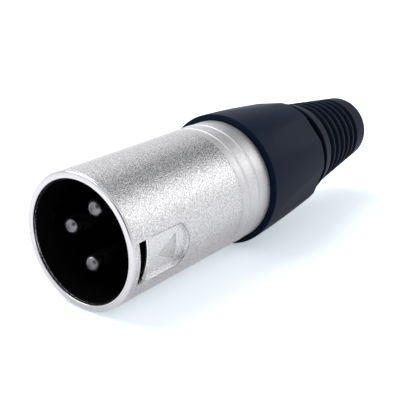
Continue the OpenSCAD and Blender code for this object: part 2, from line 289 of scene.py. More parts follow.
def thread(at, angle, pitch):
    """Height of a thread, 0 at the root and 1 at the crest: a trapezium wave of at / pitch - angle / turn."""
    flat = 0.25
    phase = (at / pitch - angle / (2 * np.pi)) % 1
    return np.clip((1 - flat - np.abs(2 * phase - 1)) / (1 - 2 * flat), 0, 1)


# The shell

# Places of the rows and columns across a wall of the sunk field, in millimetres from its edge
WALL_STEPS = (-0.16, -0.12, -0.08, -0.04, 0, 0.04, 0.08, 0.13, 0.2)
# Where the thread in the rear bore starts, and how far apart its rows are
BORE_THREAD_AT, THREAD_STEP = 21.0, 0.12


def shell_columns(s):
    """Columns round the shell: offsets across the latch window first, then shares of the way round the rest.

    A column near the window keeps its offset from the window's middle, so its angle is asin(offset / r).
    The others share what is left of the circle evenly."""
    edge = s.field_half
    near = np.concatenate([
        edge + np.array(WALL_STEPS),
        [s.key_half, s.key_half + 0.02],
        np.linspace(0.05, edge - 0.24, 34),
    ])
    near = np.unique(np.round(np.concatenate([-near, [0.0], near]), 5))
    return near, np.linspace(0, 1, 150)[1:-1]


def shell_grid(s):
    """Rows of (radius, place along the axis) from the rim's inner edge round the outside and back inside.

    Between the window and the bowed end the rows follow the bow. Their place is
    window_end + f (bow - window_end), where bow = field_end - field_bow + sqrt(field_bow^2 - offset^2)."""
    near, rest = shell_columns(s)
    offset = np.concatenate([near, np.full(len(rest), near[-1])])
    bow = s.field_end - s.field_bow + np.sqrt(s.field_bow**2 - np.minimum(np.abs(offset), s.field_half) ** 2)
    flat = np.zeros_like(bow)
    rows = []

    def plain(points):
        rows.extend((r + flat, y + flat) for r, y in points)

    def straight(radius, places):
        plain([(radius, y) for y in places])

    plain(arc(s.mouth_radius + s.rim_round, s.rim_round, s.rim_round, 180, 270, 8))
    plain(arc(s.radius - s.rim_outer, s.rim_outer, s.rim_outer, 270, 360, 8))
    window = np.concatenate([
        s.window_at + np.array([0, 0.05, 0.12]), np.linspace(s.window_at + 0.4, s.window_end - 0.4, 5),
        s.window_end - np.array([0.12, 0.05, 0]),
    ])
    front = np.array([0.6, 0.85, s.window_at - 0.15, s.window_at - 0.1, s.window_at - 0.05])
    straight(s.radius, front)
    window_rows = [len(rows), len(rows) + len(window) - 1]
    straight(s.radius, window)
    for f in np.linspace(0, 1, 84)[1:]:
        rows.append((s.radius + flat, s.window_end + f * (bow - 0.2 - s.window_end)))
    for back in WALL_STEPS:
        rows.append((s.radius + flat, bow + back))
    settle = s.field_end + 1.2
    for f in np.linspace(0, 1, 6)[1:]:
        rows.append((s.radius + flat, bow + 0.2 + f * (settle - bow - 0.2)))
    band = s.radius - s.band_drop
    straight(s.radius, np.linspace(settle, s.band_at - 0.05, 14)[1:])
    plain([(s.radius - s.band_drop * step(f), s.band_at - 0.04 + 0.1 * f) for f in (0.25, 0.5, 0.75, 1)])
    for middle in (s.bead_1_at, s.bead_2_at):
        t = np.linspace(0, 1, 13)
        plain([(band, middle - s.bead_width)])
        lean = 0.03 * np.sin(2 * np.pi * t) ** 2 * (t > 0.5)
        across = middle + s.bead_width * (t - 0.5)
        plain(np.stack([band + s.bead_height * np.sin(np.pi * t) - lean, across], 1))
        plain([(band, middle + s.bead_width)])
    plain(arc(band - s.tail_round, s.length - s.tail_round, s.tail_round, 0, 90, 6))
    thread_rows = [len(rows) + 1, 0]
    plain([(s.thread_radius, s.length)])
    straight(s.thread_radius, np.arange(s.length - THREAD_STEP, BORE_THREAD_AT, -THREAD_STEP))
    thread_rows[1] = len(rows)
    straight(s.thread_radius, (s.key_end + 0.02, s.key_end, s.rear_bore_at))
    straight(s.mouth_radius, (s.rear_bore_at, 11.0, 6.0, 4.0))
    inner_window = [len(rows), len(rows) + len(window) - 1]
    straight(s.mouth_radius, window[::-1])
    straight(s.mouth_radius, (0.9, 0.6))
    radius, at = (np.array([row[k] for row in rows]) for k in (0, 1))
    return near, rest, offset, radius, at, window_rows, inner_window, thread_rows


def shell_angles(near, rest, radius):
    """Angle of each point, from its column and its radius."""
    spread = near[-1]
    start = np.arcsin(spread / radius[:, :1])
    beside = np.arcsin(near[None, :] / radius[:, : len(near)])
    return np.concatenate([beside, start + rest[None, :] * (2 * np.pi - 2 * start)], 1)


def sunk_shapes(s, offset, at):
    """How far inside the sunk field and the triangle each point lies, in millimetres.

    That is the least of its distances from the sides and from the end."""
    bow_middle = s.field_end - s.field_bow
    field = np.minimum(
        s.field_half - np.abs(offset), s.field_bow - np.hypot(offset, np.maximum(at - bow_middle, 0))
    )
    slope = s.mark_width / 2 / s.mark_length
    side = ((at - s.mark_at) * slope - np.abs(offset)) / math.hypot(1, slope)
    mark = np.minimum(side, s.mark_at + s.mark_length - at)
    return field, mark


def make_shell(s):
    """The shell: a closed grid whose radius is lowered by the field and the mark, and opened at the window.

    "sunk" and "mark" go from 0 to 1 across their walls. "edge" is a line round the field, exp(-((f + 0.1) /
    0.06)^2) of the distance f inside it, where the material paints a thin dark line of shade."""
    near, rest, offset, radius, at, outer, inner, threads = shell_grid(s)
    rows, columns = radius.shape
    offset = np.tile(offset, (rows, 1))
    far_away, rim_rows = 99.0, 16
    offset[:, len(near):] = far_away
    outside = np.zeros((rows, 1), bool)
    outside[rim_rows : threads[0] - 1] = True
    field, mark = sunk_shapes(s, offset, at)
    sunk = step((field + 0.05) / 0.09) * (at > s.window_end - 0.01) * outside
    marked = step((mark + 0.045) / 0.08) * (at > s.window_end) * outside
    beyond = np.maximum(np.abs(offset) - s.field_half, np.maximum(s.window_at - at, at - s.window_end))
    soft = 0.1
    edge = np.clip(1 - beyond / soft, 0, 1)
    fall = soft * (1 - np.sqrt(1 - edge**2)) * outside * (1 - sunk * (at > s.window_end + 0.2))
    radius = radius - s.field_depth * sunk - s.mark_depth * marked - 0.8 * fall
    key = (np.abs(offset) <= s.key_half) & (at >= s.rear_bore_at) & (at <= s.key_end) & ~outside
    key[: threads[0]] = False
    radius = np.where(key & (radius > s.mouth_radius), s.thread_radius - s.key_height, radius)
    angle = shell_angles(near, rest, radius)
    turned = slice(threads[0], threads[1])
    depth, start = 0.25, BORE_THREAD_AT + 0.2
    fade = step((at[turned] - start) / 0.8) * step((s.length - 0.3 - at[turned]) / 0.5)
    radius[turned] += depth * (1 - thread(at[turned], angle[turned], s.pitch)) * fade
    points = around(radius, at, angle + s.latch_angle)
    faces = loft_faces(rows, columns)
    opened = [int(np.argmin(np.abs(near - side))) for side in (-s.field_half, s.field_half)]
    keep = np.ones(faces.shape[:2], bool)
    for wall in (outer, inner):
        keep[slice(*wall), slice(*opened)] = False
    index = np.arange(rows * columns).reshape(rows, columns)
    sides = [window_wall(index, outer, inner, opened, side) for side in ("front", "rear", "low", "high")]
    faces = np.concatenate([faces[keep]] + sides)
    used = np.unique(faces)
    renumber = np.full(rows * columns, -1)
    renumber[used] = np.arange(len(used))
    # A thin line just outside the field, which the material darkens as painted shade
    edge = np.exp(-(((field + 0.1) / 0.06) ** 2)) * (at > s.window_end + 0.1) * outside
    return set_mesh(
        "barrel_shell", points.reshape(-1, 3)[used], renumber[faces], sharp=50,
        values={"sunk": sunk.ravel()[used], "mark": marked.ravel()[used], "edge": edge.ravel()[used]},
    )


def window_wall(index, outer, inner, opened, side):
    """Quads of one side of the window, from an outer edge to the inner edge that lies under it."""
    low, high = opened
    if side in ("front", "rear"):
        a = index[outer[0] if side == "front" else outer[1], low : high + 1]
        b = index[inner[1] if side == "front" else inner[0], low : high + 1]
    else:
        column = low if side == "low" else high
        a = index[outer[0] : outer[1] + 1, column]
        b = index[inner[0] : inner[1] + 1, column][::-1]
    quads = np.stack([a[:-1], a[1:], b[1:], b[:-1]], 1)
    return quads[:, ::-1] if side in ("rear", "low") else quads


# The other pieces

def make_turned(name, profile, columns, sharp, radius_change=None):
    """A closed profile of (radius, place) points carried round the axis.

    radius_change(radius, at, angle) gives the final radius."""
    profile = np.asarray(profile, float)
    angle = np.tile(np.linspace(0, 2 * np.pi, columns, endpoint=False), (len(profile), 1))
    radius = np.tile(profile[:, :1], (1, columns))
    at = np.tile(profile[:, 1:], (1, columns))
    if radius_change is not None:
        radius = radius_change(radius, at, angle)
    points = around(radius, at, angle).reshape(-1, 3)
    return set_mesh(name, points, loft_faces(len(profile), columns), sharp)


def make_pin(s, name, angle):
    """A contact pin: a round tip, a shaft, a collar and a solder cup whose wall is cut away towards the axis.

    The tip is half an ellipse, (radius cos a, tip_height sin a). Where the cup is open, its rows stop at the
    cut: place = min(place, cut). The dark mark held in the tip's middle, exp(-(r / 0.5)^2), is a turning mark
    with a painted dark reflection in it."""
    cut = s.cup_at + 3 * (s.cup_radius - s.cup_bore)
    soft, side, rows_before_cup = 0.08, 25, 30
    columns = 2 * side
    profile = np.concatenate([
        arc(0, 0, 1, -86, 0, 16) * (s.radius, s.tip_height) + (0, s.tip_at + s.tip_height),
        line((s.radius, s.tip_at + s.tip_height + 0.6), (s.radius, s.collar_at), 8),
        [(s.collar_radius, s.collar_at), (s.collar_radius, s.collar_end), (s.radius, s.collar_end),
         (s.radius, s.cup_at), (s.cup_radius - soft, s.cup_at), (s.cup_radius, s.cup_at + soft)],
        line((s.cup_radius, s.cup_at + 0.6), (s.cup_radius, s.cup_end - soft), 8),
        [(s.cup_radius - soft, s.cup_end), (s.cup_bore, s.cup_end)],
        line((s.cup_bore, s.cup_end - 0.3), (s.cup_bore, s.cup_at + 0.6), 8),
        [(s.cup_bore * 0.5, s.cup_at + 0.5)],
    ])
    half, ring = np.linspace(-90, 90, side), np.arange(columns)
    around_pin = np.radians(np.concatenate([half, 180 + half]) + np.where(ring % side == 0, 0.2, 0)
                            - np.where(ring % side == side - 1, 0.2, 0))
    radius = np.tile(profile[:, :1], (1, columns))
    at = np.tile(profile[:, 1:], (1, columns))
    towards_axis = np.cos(around_pin)[None, :] < 0
    behind = np.arange(len(profile))[:, None] > rows_before_cup
    at = np.where(towards_axis & (at > cut) & behind, cut, at)
    local = (around(radius, at, around_pin) + (s.circle, 0, 0)).reshape(-1, 3)
    cos, sin = math.cos(angle), math.sin(angle)
    turn = np.array([[cos, 0, -sin], [0, 1, 0], [sin, 0, cos]])
    count = len(local)
    poles = np.array([[s.circle, s.tip_at, 0], [s.circle, s.cup_at + 0.5, 0]])
    points = np.concatenate([local, poles]) @ turn.T
    faces = loft_faces(len(profile), columns)[:-1]
    after, last_row = (ring + 1) % columns, count - columns
    tip = np.stack([np.full(columns, count), after, ring], 1)
    bottom = np.stack([np.full(columns, count + 1), last_row + ring, last_row + after], 1)
    spot = np.exp(-((radius / 0.5) ** 2)) * (at < s.tip_at + s.tip_height)
    return set_mesh(
        name, points, faces, caps=list(tip) + list(bottom), sharp=40,
        values={"spot": np.concatenate([spot.ravel(), [1.0, 0.0]])},
    )


def bushing_side(s, at):
    """Radius of the body at a place along it: a straight cone plus a bulge of 4 b t (1 - t)."""
    t = (at - s.face_at) / (s.end_at - s.face_at)
    return s.lip_radius + (s.rear_radius - s.lip_radius) * t + 4 * s.bulge * t * (1 - t)


def make_bushing(s, pitch):
    """The bushing: a closed profile whose side is cut by leaning planes.

    The radius is min(side, plane / cos(angle from the plane's middle)), rounded where the two meet."""
    side_at = np.linspace(s.face_at + s.lip_round, s.end_at - s.rear_round, 72)
    spigot_at = np.arange(s.spigot_at + 0.15, s.face_at - 0.2, 0.1)
    lip = bushing_side(s, s.face_at + s.lip_round)
    rear = bushing_side(s, s.end_at - s.rear_round)
    profile = np.concatenate([
        [(s.spigot_bore, s.spigot_at), (s.spigot_radius - 0.2, s.spigot_at)],
        np.stack([s.spigot_radius + 0 * spigot_at, spigot_at], 1),
        [(s.spigot_radius - 0.3, s.face_at - 0.15), (s.spigot_radius - 0.3, s.face_at)],
        line((s.spigot_radius + 0.2, s.face_at), (lip - s.lip_round - 0.1, s.face_at), 4),
        arc(lip - s.lip_round, s.face_at + s.lip_round, s.lip_round, 270, 360, 9)[:-1],
        np.stack([bushing_side(s, side_at), side_at], 1),
        arc(rear - s.rear_round, s.end_at - s.rear_round, s.rear_round, 4, 90, 9)[1:],
        [(s.hold_radius + 0.15, s.end_at), (s.hold_radius, s.end_at - 0.15), (s.hold_radius, s.seat_end),
         (s.seat_radius, s.seat_end), (s.seat_radius, s.seat_at), (s.web_bore, s.seat_at),
         (s.web_bore, s.cone_end), (s.cone_radius, s.cone_end), (s.spigot_bore, s.cone_at)],
    ])
    # The profile has 2 points before the thread, 2 between it and the face, and 9 behind the body's outside
    thread_from, behind = 2, 9
    thread_to = thread_from + len(spigot_at)
    row = np.arange(len(profile))[:, None]
    threaded = (row >= thread_from) & (row < thread_to)
    outside = (row >= thread_to + 2) & (row < len(profile) - behind)
    front = bushing_side(s, s.flat_at)
    slope = (front - bushing_side(s, s.end_at) + s.flat_depth) / (s.end_at - s.flat_at)

    def change(radius, at, angle):
        sector = 2 * np.pi / s.flats
        across = (angle - s.corner_angle) % sector - sector / 2
        plane = (front - slope * (at - s.flat_at)) / np.cos(across)
        side = bushing_side(s, at)
        gap = side - plane
        blend = 0.035
        cut = np.where(gap > -blend, np.maximum(gap + blend, 0) ** 2 / (4 * blend), 0)
        cut = np.where(gap > blend, gap, cut)
        radius = radius - cut * outside * (at > s.flat_at - 0.6)
        fade = step((at - s.spigot_at) / 0.8) * step((s.face_at - 0.4 - at) / 0.6)
        return radius - s.thread_depth * (1 - thread(at, angle, pitch) * fade) * threaded

    return make_turned("clamping_bushing", profile, 288, 40, change)


def make_boot(s):
    """The boot: a profile carried round the axis.

    A groove's depth is d (sin pi t)^0.7 for t from 0 to 1 across it. A rib is rounded by crown (2 u - 1)^2
    for u from 0 to 1 across its top."""
    edge, crown, hole_round = 0.25, 0.12, 0.3
    slope = (s.ribs_radius - s.end_radius) / (s.end_at - s.ribs_at)

    def side(y):
        return s.ribs_radius - slope * (y - s.ribs_at)

    rows = []
    for k in range(s.grooves):
        start = s.ribs_at + k * s.pitch
        t = np.linspace(0, 1, 17)
        y = start + s.groove_width * t
        rows.append(np.stack([side(y) - crown - s.groove_depth * np.sin(np.pi * t) ** 0.7, y], 1))
        if k < s.grooves - 1:
            u = np.linspace(0, 1, 9)[1:-1]
            y = start + s.groove_width + (s.pitch - s.groove_width) * u
            rows.append(np.stack([side(y) - crown * (2 * u - 1) ** 2, y], 1))
    last = s.ribs_at + (s.grooves - 1) * s.pitch + s.groove_width
    end = side(s.end_at - s.end_round)
    y = np.linspace(last + 0.15, s.end_at - s.end_round - 0.2, 8)
    profile = np.concatenate([
        [(s.cable_radius, s.flange_at), (s.flange_radius, s.flange_at), (s.flange_radius, s.flange_end),
         (s.neck_radius, s.flange_end), (s.neck_radius, s.shoulder_at), (s.shoulder_radius, s.shoulder_at)],
        line((s.shoulder_radius, s.shoulder_at + 0.1), (s.shoulder_radius - 0.1, s.ring_at - 0.1), 6),
        [(s.shoulder_radius, s.ring_at)],
        arc(s.ring_radius - edge, s.ring_at + edge, edge, 270, 350, 6),
        line((s.ring_radius - 0.08, s.ring_at + 0.5), (s.ribs_radius + 0.04, s.ribs_at - 0.2), 5),
        *rows,
        np.stack([side(y), y], 1),
        arc(end - s.end_round, s.end_at - s.end_round, s.end_round, 5, 90, 12),
        [(s.cable_radius + hole_round, s.end_at)],
        arc(s.cable_radius + hole_round, s.end_at - hole_round, hole_round, 90, 180, 4)[1:],
        line((s.cable_radius, s.end_at - 2), (s.cable_radius, s.flange_at + 1), 10),
    ])
    return make_turned("ribbed_boot", profile, 180, 38)


# Finishes

def new_group(name, scale, *outputs):
    """A shader group with a place and a scale given, these values put out, and its sockets inside."""
    tree = bpy.data.node_groups.new(name, "ShaderNodeTree")
    tree.interface.new_socket(name="Vector", in_out="INPUT", socket_type="NodeSocketVector")
    size = tree.interface.new_socket(name="Scale", in_out="INPUT", socket_type="NodeSocketFloat")
    size.default_value = scale
    for label in outputs:
        tree.interface.new_socket(name=label, in_out="OUTPUT", socket_type="NodeSocketFloat")
    given = tree.nodes.new("NodeGroupInput").outputs
    return tree, given["Vector"], given["Scale"], tree.nodes.new("NodeGroupOutput").inputs


def maths(tree, operation, *values, clamp=False):
    """A Math node. Each value is a number or a socket."""
    node = tree.nodes.new("ShaderNodeMath")
    node.operation, node.use_clamp = operation, clamp
    for k, value in enumerate(values):
        if isinstance(value, (int, float)):
            node.inputs[k].default_value = value
        else:
            tree.links.new(value, node.inputs[k])
    return node.outputs[0]


def times(tree, a, b):
    """The product of two values."""
    return maths(tree, "MULTIPLY", a, b)


def plus(tree, a, b):
    """The sum of two values."""
    return maths(tree, "ADD", a, b)


def mixed(tree, factor, a, b):
    """A colour between a and b. Each is a colour or a socket."""
    node = tree.nodes.new("ShaderNodeMix")
    node.data_type = "RGBA"
    for key, value in (("Factor", factor), ("A", a), ("B", b)):
        socket = next(i for i in node.inputs if i.name == key and (key == "Factor" or i.type == "RGBA"))
        if isinstance(value, (tuple, list)):
            socket.default_value = (*value, 1)
        elif isinstance(value, (int, float)):
            socket.default_value = value
        else:
            tree.links.new(value, socket)
    return next(o for o in node.outputs if o.type == "RGBA")


def noise(tree, vector, scale, detail, rough, stretch=None):
    """A noise value between 0 and 1. scale is a number or a socket."""
    if stretch is not None:
        mapping = tree.nodes.new("ShaderNodeMapping")
        mapping.inputs["Scale"].default_value = stretch
        tree.links.new(vector, mapping.inputs["Vector"])
        vector = mapping.outputs[0]
    node = tree.nodes.new("ShaderNodeTexNoise")
    tree.links.new(vector, node.inputs["Vector"])
    if isinstance(scale, (int, float)):
        node.inputs["Scale"].default_value = scale
    else:
        tree.links.new(scale, node.inputs["Scale"])
    node.inputs["Detail"].default_value = detail
    node.inputs["Roughness"].default_value = rough
    return node.outputs["Fac"]


def ramp(tree, value, low, high, out_low=0.0, out_high=1.0):
    """Maps low..high to out_low..out_high, held inside them."""
    node = tree.nodes.new("ShaderNodeMapRange")
    tree.links.new(value, node.inputs["Value"])
    for key, number in (("From Min", low), ("From Max", high), ("To Min", out_low), ("To Max", out_high)):
        node.inputs[key].default_value = number
    return node.outputs[0]


def blasted_group():
    """Blasted metal: dimples at one size with finer grit in them, and slow patches over the whole surface."""
    tree, vector, scale, out = new_group("Blasted grain", 6000.0, "Height", "Tone", "Patch")
    dimples = noise(tree, vector, scale, 3.0, 0.65)
    grit = noise(tree, vector, times(tree, scale, 2.3), 2.0, 0.6)
    height = plus(tree, times(tree, dimples, 0.65), times(tree, grit, 0.35))
    patch = noise(tree, vector, times(tree, scale, 0.035), 3.0, 0.55)
    tree.links.new(height, out["Height"])
    tree.links.new(ramp(tree, height, 0.3, 0.7), out["Tone"])
    tree.links.new(ramp(tree, patch, 0.3, 0.7), out["Patch"])
    return tree


def skin_group():
    """Moulded skin: a fine leathery texture, faint flow marks along the piece and thin dust."""
    tree, vector, scale, out = new_group("Moulded skin", 3000.0, "Height", "Tone", "Dust")
    fine = noise(tree, vector, scale, 3.0, 0.6)
    flow = noise(tree, vector, times(tree, scale, 0.12), 2.0, 0.5, stretch=(1, 0.15, 1))
    dust = noise(tree, vector, times(tree, scale, 0.5), 5.0, 0.7)
    height = plus(tree, times(tree, fine, 0.7), times(tree, flow, 0.3))
    tree.links.new(height, out["Height"])
    tree.links.new(flow, out["Tone"])
    tree.links.new(ramp(tree, dust, 0.58, 0.8), out["Dust"])
    return tree


def rings_group():
    """Turning marks: fine rings along the axis with uneven depth, and tarnish between them."""
    tree, vector, scale, out = new_group("Turning marks", 9000.0, "Height", "Tarnish")
    rings = noise(tree, vector, scale, 2.0, 0.6, stretch=(0.01, 1, 0.01))
    tarnish = noise(tree, vector, times(tree, scale, 0.08), 4.0, 0.6)
    tree.links.new(rings, out["Height"])
    tree.links.new(ramp(tree, tarnish, 0.4, 0.7), out["Tarnish"])
    return tree


def new_material(name, metallic, roughness, **values):
    """A material, its nodes, its Principled shader and its Object coordinates."""
    material = bpy.data.materials.new(name)
    material.use_nodes = True
    tree = material.node_tree
    shader = tree.nodes["Principled BSDF"]
    shader.inputs["Metallic"].default_value = metallic
    shader.inputs["Roughness"].default_value = roughness
    for key, value in values.items():
        shader.inputs[key.replace("_", " ")].default_value = value
    place = tree.nodes.new("ShaderNodeTexCoord").outputs["Object"]
    return material, tree, shader, place


def put_group(tree, group, place, scale):
    """One use of a shared group, with its own scale."""
    node = tree.nodes.new("ShaderNodeGroup")
    node.node_tree = group
    tree.links.new(place, node.inputs["Vector"])
    node.inputs["Scale"].default_value = scale
    return node.outputs


def bump(tree, shader, height, distance, strength):
    """Feeds a height into the shader's normal. distance is the relief in metres."""
    node = tree.nodes.new("ShaderNodeBump")
    node.inputs["Distance"].default_value = distance
    node.inputs["Strength"].default_value = strength
    tree.links.new(height, node.inputs["Height"])
    tree.links.new(node.outputs["Normal"], shader.inputs["Normal"])


def attribute(tree, name):
    """A value that the piece's mesh holds."""
    node = tree.nodes.new("ShaderNodeAttribute")
    node.attribute_name = name
    return node.outputs["Fac"]


def along(tree, place):
    """Place along the plug, in metres from the mouth."""
    node = tree.nodes.new("ShaderNodeSeparateXYZ")
    tree.links.new(place, node.inputs[0])
    return node.outputs["Y"]


def shade(colour_value, factor):
    """A colour made darker or lighter."""
    return tuple(c * factor for c in colour_value)


def nickel_material(look, groups, band_at):
    """Blasted nickel: dimpled and matt on the barrel, smoother on the rear band, polished on the rim.

    The sunk field is lighter, with a painted highlight on its walls and a thin painted dark line of shade
    round it. The mark is darker, with painted shade on its walls."""
    base = tuple(look.nickel)
    material, tree, shader, place = new_material("Satin nickel", 1.0, look.nickel_rough)
    grain = put_group(tree, groups["blasted"], place, 1 / look.grain)
    y = along(tree, place)
    rim_from, rim_to, blur = 0.0003, 0.0005, 0.0001
    rim = ramp(tree, y, rim_from, rim_to, 1.0, 0.0)
    band = ramp(tree, y, band_at * MM - blur, band_at * MM + blur)
    calm = maths(tree, "MAXIMUM", rim, times(tree, band, 0.5))
    rough_part = maths(tree, "SUBTRACT", 1.0, calm)
    tone = mixed(tree, grain["Tone"], shade(base, 0.46), shade(base, 1.54))
    tone = mixed(tree, rough_part, base, tone)
    sunk, mark, edge = (attribute(tree, name) for name in ("sunk", "mark", "edge"))
    # Walls of the sunk field and of the mark: the first carry a painted highlight, the second painted shade
    sunk_wall_painted_highlight, mark_wall_painted_shade = (
        times(tree, part, maths(tree, "SUBTRACT", 1.0, part)) for part in (sunk, mark)
    )
    # Each layer has the place where it shows, its strength and its shade of the base colour. The field's
    # walls get a painted highlight; the mark's walls and the edge line get painted shade.
    for where, strength, change in (
        (grain["Patch"], 0.12, 0.9), (sunk, 0.4, 1.3), (mark, 0.35, 0.62),
        (sunk_wall_painted_highlight, 4.0, 1.62), (mark_wall_painted_shade, 2.0, 0.3), (edge, 0.75, 0.3),
    ):
        tone = mixed(tree, maths(tree, "MULTIPLY", where, strength, clamp=True), tone, shade(base, change))
    tree.links.new(tone, shader.inputs["Base Color"])
    roughness = plus(tree, times(tree, grain["Tone"], 0.10), look.nickel_rough - 0.05)
    roughness = plus(tree, roughness, times(tree, band, 0.22))
    roughness = maths(tree, "SUBTRACT", roughness, times(tree, rim, 0.20))
    tree.links.new(roughness, shader.inputs["Roughness"])
    height = times(tree, grain["Height"], rough_part)
    bump(tree, shader, height, 0.00009, 1.0)
    return material


def plain_metal(name, base, roughness, groups, scale, tarnish_share, relief):
    """A turned or stamped metal with fine marks, a little tarnish, and the dark mark at a pin's tip that a
    mesh may hold: a turning mark with a painted dark reflection in it.
    """
    base = tuple(base)
    material, tree, shader, place = new_material(name, 1.0, roughness)
    marks = put_group(tree, groups["rings"], place, scale)
    tone = mixed(tree, times(tree, marks["Tarnish"], tarnish_share), base, shade(base, 0.45))
    # Darkens a pin's tip: a turning mark, plus a painted dark reflection
    tone = mixed(tree, times(tree, attribute(tree, "spot"), 0.8), tone, shade(base, 0.12))
    tree.links.new(tone, shader.inputs["Base Color"])
    spread = plus(tree, times(tree, marks["Tarnish"], 0.15), roughness)
    tree.links.new(spread, shader.inputs["Roughness"])
    bump(tree, shader, marks["Height"], relief, 0.5)
    return material


def moulded(name, base, roughness, groups, scale, relief, dust, **values):
    """A moulded plastic or rubber with a fine skin."""
    base = tuple(base)
    material, tree, shader, place = new_material(name, 0.0, roughness, **values)
    skin = put_group(tree, groups["skin"], place, scale)
    tone = mixed(tree, skin["Tone"], shade(base, 0.8), shade(base, 1.25))
    tone = mixed(tree, times(tree, skin["Dust"], dust), tone, (0.35, 0.36, 0.38))
    tree.links.new(tone, shader.inputs["Base Color"])
    spread = plus(tree, times(tree, skin["Height"], 0.16), roughness - 0.08)
    tree.links.new(spread, shader.inputs["Roughness"])
    bump(tree, shader, skin["Height"], relief, 0.6)
    return material


def finishes(context):
    """All materials by slot, made once."""
    look = context.scene.plug_finish
    groups = {"blasted": blasted_group(), "skin": skin_group(), "rings": rings_group()}
    shell = in_mm(context.scene.plug_shell)
    values = in_mm(look)
    values.nickel, values.grain = look.nickel, look.grain
    return {
        "satin_nickel": nickel_material(values, groups, shell.band_at),
        "silvered_contact": plain_metal(
            "Silvered contact", look.contact, 0.26, groups, scale=7000.0, tarnish_share=0.5, relief=0.00001),
        "tab_brass": plain_metal(
            "Tab brass", look.brass, 0.3, groups, scale=5000.0, tarnish_share=0.4, relief=0.00001),
        "black_insert": moulded(
            "Black insert", look.insert, 0.38, groups, scale=3500.0, relief=0.00001, dust=0.002,
            Specular_IOR_Level=0.08),
        "black_bushing": moulded(
            "Black bushing", look.bushing, 0.48, groups, scale=5200.0, relief=0.00003, dust=0.006,
            Specular_IOR_Level=0.06),
        "black_rubber": moulded(
            "Black rubber", look.rubber, 0.52, groups, scale=4200.0, relief=0.00004, dust=0.008,
            Specular_IOR_Level=0.055),
        "chuck_plastic": moulded(
            "Chuck plastic", look.chuck, 0.42, groups, scale=2500.0, relief=0.00001, dust=0.0),
    }


MATERIALS = {
    "satin_nickel": "Satin nickel", "silvered_contact": "Silvered contact", "tab_brass": "Tab brass",
    "black_insert": "Black insert", "black_bushing": "Black bushing", "black_rubber": "Black rubber",
    "chuck_plastic": "Chuck plastic",
}


def finish(slot):
    """A finish that the first operator has made."""
    return bpy.data.materials[MATERIALS[slot]]


class PLUG_OT_finishes(bpy.types.Operator):
    """Make the finishes of the plug and give them to the CAD parts that stay in view"""

    bl_idname = "cable_plug.finishes"
    bl_label = "Finishes"

    def execute(self, context):
        made = finishes(context)
        kept = {"insert": "black_insert", "ground_tab": "tab_brass", "chuck": "chuck_plastic"}
        for node, slot in kept.items():
            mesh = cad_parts[node].data
            mesh.materials.clear()
            mesh.materials.append(made[slot])
        return {"FINISHED"}


class PLUG_OT_shell(bpy.types.Operator):
    """Make the blasted metal shell with its latch window"""

    bl_idname = "cable_plug.shell"
    bl_label = "Shell"

    def execute(self, context):
        piece = make_shell(in_mm(context.scene.plug_shell))
        dress(piece, "plug", "satin_nickel", "shell")
        return {"FINISHED"}


class PLUG_OT_pins(bpy.types.Operator):
    """Make the three contact pins"""

    bl_idname = "cable_plug.pins"
    bl_label = "Contact pins"

    def execute(self, context):
        sizes = in_mm(context.scene.plug_pins)
        latch = context.scene.plug_shell.latch_angle
        for number, turn in ((1, -90), (2, 90), (3, 180)):
            piece = make_pin(sizes, f"contact_{number}", latch + math.radians(turn))
            dress(piece, "plug", "silvered_contact", f"pin_{number}")
        return {"FINISHED"}


class PLUG_OT_bushing(bpy.types.Operator):
    """Make the black bushing with its flats and thread"""

    bl_idname = "cable_plug.bushing"
    bl_label = "Bushing"

    def execute(self, context):
        piece = make_bushing(in_mm(context.scene.plug_bushing), context.scene.plug_shell.pitch / MM)
        dress(piece, "bushing", "black_bushing", "bushing")
        return {"FINISHED"}


class PLUG_OT_boot(bpy.types.Operator):
    """Make the ribbed rubber boot"""

    bl_idname = "cable_plug.boot"
    bl_label = "Boot"

    def execute(self, context):
        piece = make_boot(in_mm(context.scene.plug_boot))
        dress(piece, "boot", "black_rubber", "boot")
        return {"FINISHED"}


# Stage

# Corners of a square, and the middle of the plug, which the lamps and the cards face
SQUARE = ((-1, -1), (1, -1), (1, 1), (-1, 1))
PLUG_MIDDLE = Vector((0, 0.03, 0))


def facing(towards, distance):
    """Place and turn of something that faces the plug from this direction."""
    direction = Vector(towards).normalized()
    return PLUG_MIDDLE + direction * distance, direction.to_track_quat("Z", "Y")


def area_lamp(name, towards, distance, size, level, tint):
    """A rectangular lamp whose surface has this brightness: power = brightness x area x pi."""
    lamp = bpy.data.lights.new(name, "AREA")
    lamp.shape, lamp.size, lamp.size_y = "RECTANGLE", size[0], size[1]
    lamp.energy = level * size[0] * size[1] * math.pi
    lamp.color = tint
    holder = add_object(name, lamp)
    holder.rotation_mode = "QUATERNION"
    holder.location, holder.rotation_quaternion = facing(towards, distance)


def card(name, towards, distance, size, material):
    """A flat card that faces the plug and shows only in its reflections, as a painted dark reflection where
    no light comes from.
    """
    middle, turn = facing(towards, distance)
    turn = turn.to_matrix()
    corners = [middle + turn @ Vector((x * size[0] / 2, y * size[1] / 2, 0)) for x, y in SQUARE]
    mesh = bpy.data.meshes.new(name)
    mesh.from_pydata([tuple(c) for c in corners], [], [(0, 1, 2, 3)])
    mesh.materials.append(material)
    piece = add_object(name, mesh)
    piece.visible_camera = piece.visible_shadow = piece.visible_diffuse = False


